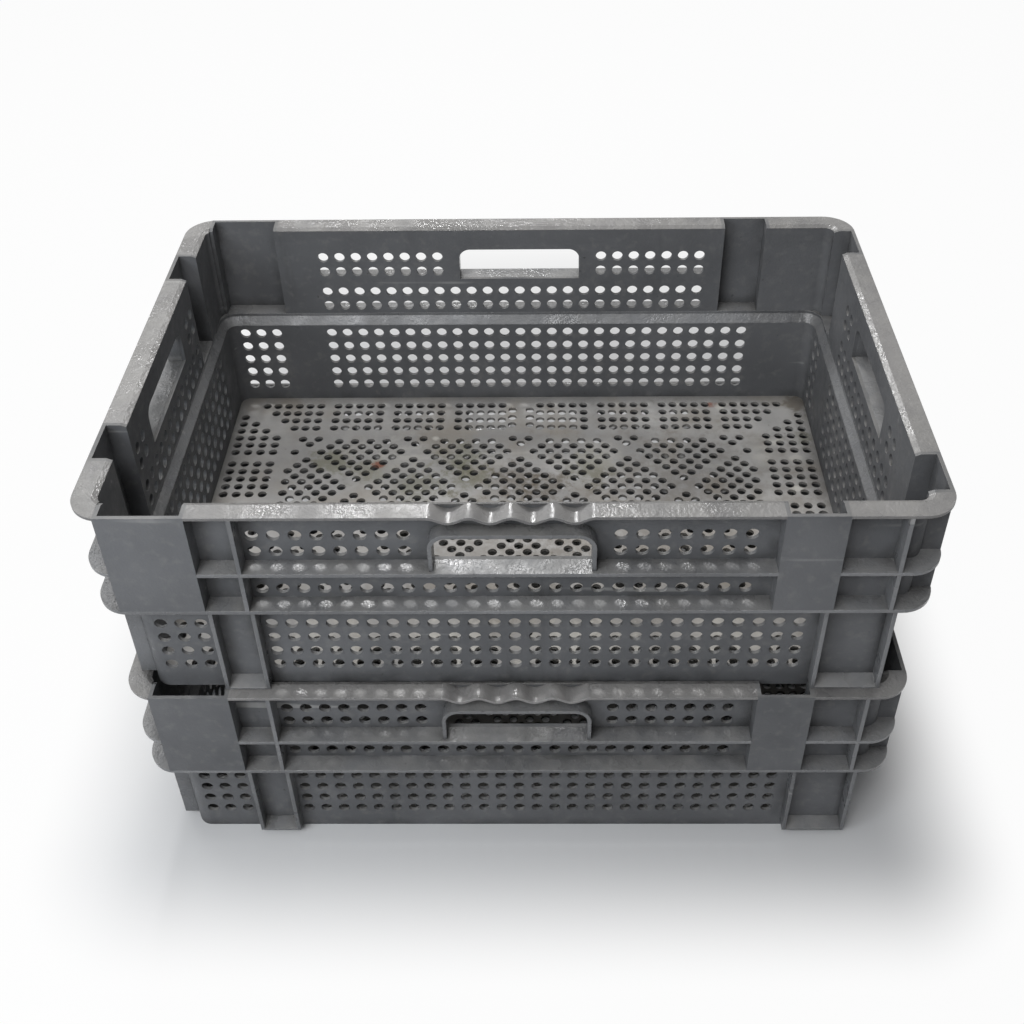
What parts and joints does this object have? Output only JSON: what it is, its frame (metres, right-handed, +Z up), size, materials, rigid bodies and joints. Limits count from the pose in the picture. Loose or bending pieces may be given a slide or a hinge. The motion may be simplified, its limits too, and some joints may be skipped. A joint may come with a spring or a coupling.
{
  "type": "stacking crate",
  "caption": "Stacked perforated plastic storage crates with hand holes, ribbed rim, stacking lugs and nesting channels; the upper crate lifts off.",
  "frame": {"origin": "middle of the base of the lower crate, on the ground", "axes": "+X along the crate's length to its right end, +Y from the front to the back, +Z up"},
  "size_m": [0.6, 0.4, 0.38],
  "materials": {
    "wall_plastic": "satin, dusty",
    "rib_plastic": "satin, worn",
    "rim_plastic": "satin, rubbed pale",
    "floor_plastic": "dull, stained"
  },
  "bodies": {
    "lower_crate": {"bottom_floor": "floor_plastic", "bottom_base_wall_front": "wall_plastic", "bottom_base_wall_back": "wall_plastic", "bottom_base_wall_left": "wall_plastic", "bottom_base_wall_right": "wall_plastic", "bottom_base_corners": "wall_plastic", "bottom_step_sides": "rib_plastic", "bottom_step_ends": "rib_plastic", "bottom_step_corners": "rib_plastic", "bottom_upper_wall_front": "wall_plastic", "bottom_upper_wall_back": "wall_plastic", "bottom_upper_wall_left": "wall_plastic", "bottom_upper_wall_right": "wall_plastic", "bottom_upper_corners": "wall_plastic", "bottom_hand_panels": "wall_plastic", "bottom_hand_bridges": "wall_plastic", "bottom_channels_front": "wall_plastic", "bottom_channels_back": "wall_plastic", "bottom_channels_left": "wall_plastic", "bottom_channels_right": "wall_plastic", "bottom_rim_front": "rim_plastic", "bottom_rim_back": "rim_plastic", "bottom_rim_ends": "rim_plastic", "bottom_rim_corners": "rim_plastic", "bottom_mid_ribs": "rib_plastic", "bottom_mid_rib_corners": "rib_plastic", "bottom_posts": "rib_plastic", "bottom_handle_hoods": "rib_plastic", "bottom_lugs": "wall_plastic", "bottom_finger_grip": "rim_plastic"},
    "upper_crate": {"top_floor": "floor_plastic", "top_base_wall_front": "wall_plastic", "top_base_wall_back": "wall_plastic", "top_base_wall_left": "wall_plastic", "top_base_wall_right": "wall_plastic", "top_base_corners": "wall_plastic", "top_step_sides": "rib_plastic", "top_step_ends": "rib_plastic", "top_step_corners": "rib_plastic", "top_upper_wall_front": "wall_plastic", "top_upper_wall_back": "wall_plastic", "top_upper_wall_left": "wall_plastic", "top_upper_wall_right": "wall_plastic", "top_upper_corners": "wall_plastic", "top_hand_panels": "wall_plastic", "top_hand_bridges": "wall_plastic", "top_channels_front": "wall_plastic", "top_channels_back": "wall_plastic", "top_channels_left": "wall_plastic", "top_channels_right": "wall_plastic", "top_rim_front": "rim_plastic", "top_rim_back": "rim_plastic", "top_rim_ends": "rim_plastic", "top_rim_corners": "rim_plastic", "top_mid_ribs": "rib_plastic", "top_mid_rib_corners": "rib_plastic", "top_posts": "rib_plastic", "top_handle_hoods": "rib_plastic", "top_lugs": "wall_plastic", "top_finger_grip": "rim_plastic"}
  },
  "joints": [
    {"name": "lift_upper_crate", "type": "slide", "parent": "lower_crate", "child": "upper_crate", "axis": [0, 0, 1], "range_m": [0, 0.25]}
  ]
}
